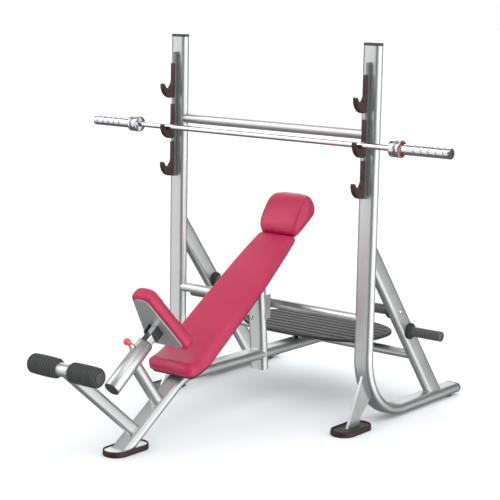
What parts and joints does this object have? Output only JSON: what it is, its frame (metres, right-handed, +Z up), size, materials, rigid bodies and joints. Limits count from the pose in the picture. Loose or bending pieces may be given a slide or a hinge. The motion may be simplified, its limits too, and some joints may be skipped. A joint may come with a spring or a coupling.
{
  "type": "olympic incline bench press",
  "caption": "Free-standing rack with hooks and a barbell over a padded incline bench with headrest, sliding leg pad, foot rollers, plate horns and a spotter platform.",
  "frame": {"origin": "on the floor, under the middle of the whole machine", "axes": "+Z up, +X along the barbell towards the lifter's left hand end when seated, +Y to the rear behind the bench"},
  "size_m": [2.2, 2.3146, 1.86],
  "materials": {
    "frame_paint": "satin silver-grey powder coat",
    "cap_plastic": "moulded dark grey",
    "black_rubber": "matt",
    "brown_rubber": "satin moulded",
    "vinyl": "grained raspberry vinyl",
    "bracket_paint": "matt black",
    "grip_rubber": "ribbed matt",
    "platform_plastic": "ribbed dark grey",
    "horn_plastic": "satin grey sleeve",
    "chrome": "polished",
    "hook_steel": "satin grey",
    "knob_plastic": "glossy red"
  },
  "bodies": {
    "frame": {"back_rail": "bracket_paint", "backrest_post": "frame_paint", "bench_board": "bracket_paint", "bench_cushion": "vinyl", "foot_roller_arm": "frame_paint", "front_beam_and_leg": "frame_paint", "front_foot_boot": "brown_rubber", "headrest": "vinyl", "height_sleeve": "frame_paint", "left_brace": "frame_paint", "left_foot_boot": "brown_rubber", "left_foot_bracket": "frame_paint", "left_hook_rail": "hook_steel", "left_inner_horn": "horn_plastic", "left_inner_horn_ring": "black_rubber", "left_low_hook_liner": "brown_rubber", "left_middle_hook_liner": "brown_rubber", "left_outer_horn": "horn_plastic", "left_outer_horn_ring": "black_rubber", "left_skid_cap": "cap_plastic", "left_skid_pad": "black_rubber", "left_top_hook_liner": "brown_rubber", "left_upright_and_skid": "frame_paint", "left_upright_cap": "cap_plastic", "lower_crossbar": "frame_paint", "pin_housing": "chrome", "rear_beam": "frame_paint", "rear_crossbar": "frame_paint", "right_brace": "frame_paint", "right_foot_boot": "brown_rubber", "right_foot_bracket": "frame_paint", "right_hook_rail": "hook_steel", "right_inner_horn": "horn_plastic", "right_inner_horn_ring": "black_rubber", "right_low_hook_liner": "brown_rubber", "right_middle_hook_liner": "brown_rubber", "right_outer_horn": "horn_plastic", "right_outer_horn_ring": "black_rubber", "right_skid_cap": "cap_plastic", "right_skid_pad": "black_rubber", "right_top_hook_liner": "brown_rubber", "right_upright_and_skid": "frame_paint", "right_upright_cap": "cap_plastic", "roller_axle": "frame_paint", "sleeve_end_plug": "cap_plastic", "sleeve_guide_bush": "cap_plastic", "sleeve_strut": "frame_paint", "spotter_platform": "platform_plastic", "upper_crossbar": "frame_paint"},
    "barbell": {"barbell_shaft": "chrome"},
    "left_bar_sleeve": {"left_bar_sleeve": "chrome"},
    "right_bar_sleeve": {"right_bar_sleeve": "chrome"},
    "left_roller": {"left_foot_roller": "grip_rubber"},
    "right_roller": {"right_foot_roller": "grip_rubber"},
    "leg_pad_carriage": {"inner_tube": "chrome", "leg_pad": "vinyl", "leg_pad_plate": "hook_steel"},
    "pull_pin": {"pull_knob": "knob_plastic", "pull_pin": "chrome"}
  },
  "joints": [
    {"name": "barbell_lift", "type": "slide", "parent": "frame", "child": "barbell", "axis": [0, -0.4, 0.9165], "range_m": [0, 0.4]},
    {"name": "left_bar_sleeve_spin", "type": "hinge", "parent": "barbell", "child": "left_bar_sleeve", "pos_m": [-0.93, 0.2066, 1.389], "axis": [1, 0, 0], "continuous": true},
    {"name": "right_bar_sleeve_spin", "type": "hinge", "parent": "barbell", "child": "right_bar_sleeve", "pos_m": [0.93, 0.2066, 1.389], "axis": [1, 0, 0], "continuous": true},
    {"name": "left_roller_spin", "type": "hinge", "parent": "frame", "child": "left_roller", "pos_m": [-0.1175, -1.1114, 0.455], "axis": [1, 0, 0], "continuous": true},
    {"name": "right_roller_spin", "type": "hinge", "parent": "frame", "child": "right_roller", "pos_m": [0.1175, -1.1114, 0.455], "axis": [1, 0, 0], "continuous": true},
    {"name": "leg_pad_slide", "type": "slide", "parent": "frame", "child": "leg_pad_carriage", "axis": [0, 0.7934, 0.6088], "range_m": [-0.03, 0.12]},
    {"name": "pull_pin_slide", "type": "slide", "parent": "frame", "child": "pull_pin", "axis": [-0.4226, -0.5517, 0.719], "range_m": [0, 0.012], "stiffness_N_per_m": 800, "springref_m": -0.01}
  ]
}
